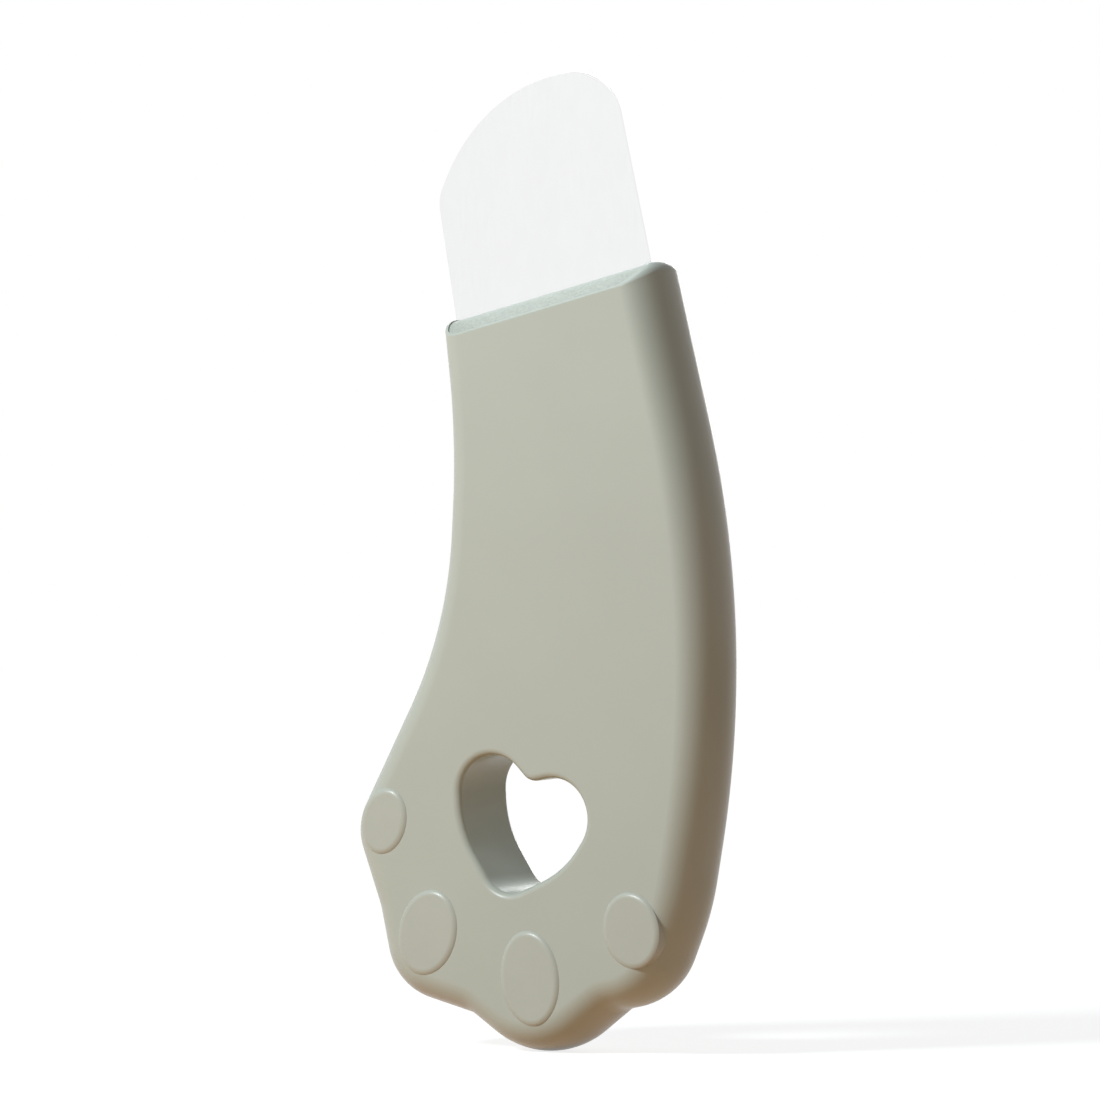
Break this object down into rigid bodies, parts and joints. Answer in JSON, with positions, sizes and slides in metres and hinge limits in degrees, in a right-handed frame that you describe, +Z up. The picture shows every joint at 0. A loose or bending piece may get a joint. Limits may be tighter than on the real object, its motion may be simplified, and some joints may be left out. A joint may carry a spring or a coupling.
{
  "type": "blackhead extractor",
  "caption": "Handheld ultrasonic blackhead extractor: thin shovel-shaped steel blade in a flat paw-shaped handle with a heart finger opening, rear button and charging port",
  "frame": {"origin": "Under the middle of the outline, on the mid-plane of the handle and level with its lowest toe.", "axes": "+Z runs up the handle to the blade's tip, -Y out of the front face with the toe pads, +Y out of the back face with the button, +X to the right seen from the front."},
  "size_m": [0.064, 0.0144, 0.1484],
  "materials": {
    "shell": "satin moulded ABS",
    "pads": "matt silicone",
    "plug": "fine-grained matt elastomer",
    "blade_steel": "satin stainless sheet",
    "clamp_plastic": "moulded glass-filled nylon",
    "soft_grey": "soft silicone",
    "screw_steel": "plated steel",
    "piezo": "silvered ceramic",
    "board": "solder-masked laminate",
    "chip_black": "moulded epoxy",
    "coil": "ferrite and moulded resin",
    "led": "clear epoxy over phosphor",
    "light_guide": "frosted acrylic",
    "button": "satin moulded ABS",
    "battery": "laminated foil",
    "lead_red": "wire insulation",
    "lead_blue": "wire insulation"
  },
  "bodies": {
    "handle": {"front_shell": "shell", "back_shell": "shell", "toe_pad_1": "pads", "toe_pad_2": "pads", "toe_pad_3": "pads", "toe_pad_4": "pads", "end_plug": "plug", "blade": "blade_steel", "blade_clamp_front": "clamp_plastic", "blade_clamp_back": "clamp_plastic", "clamp_pads": "soft_grey", "clamp_screws": "screw_steel", "piezo_disc_front": "piezo", "piezo_disc_back": "piezo", "circuit_board": "board", "board_chips": "chip_black", "drive_coil": "coil", "switch_case": "coil", "status_leds": "led", "light_guide": "light_guide", "charge_socket": "screw_steel", "button_seal": "soft_grey", "battery": "battery", "battery_tape": "chip_black", "battery_leads": "lead_red", "piezo_leads": "lead_blue", "board_screws": "screw_steel", "shell_screws": "screw_steel", "screw_caps": "plug", "shell_seal": "soft_grey"},
    "button": {"power_button": "button", "switch_plunger": "chip_black"},
    "port_cover": {"port_cover": "plug"}
  },
  "joints": [
    {"name": "power_button_press", "type": "slide", "parent": "handle", "child": "button", "axis": [0, -1, 0], "range_m": [0, 0.0004], "stiffness_N_per_m": 300, "springref_m": -0.001},
    {"name": "port_cover_pull", "type": "slide", "parent": "handle", "child": "port_cover", "axis": [-1, 0, 0], "range_m": [0, 0.005]}
  ]
}
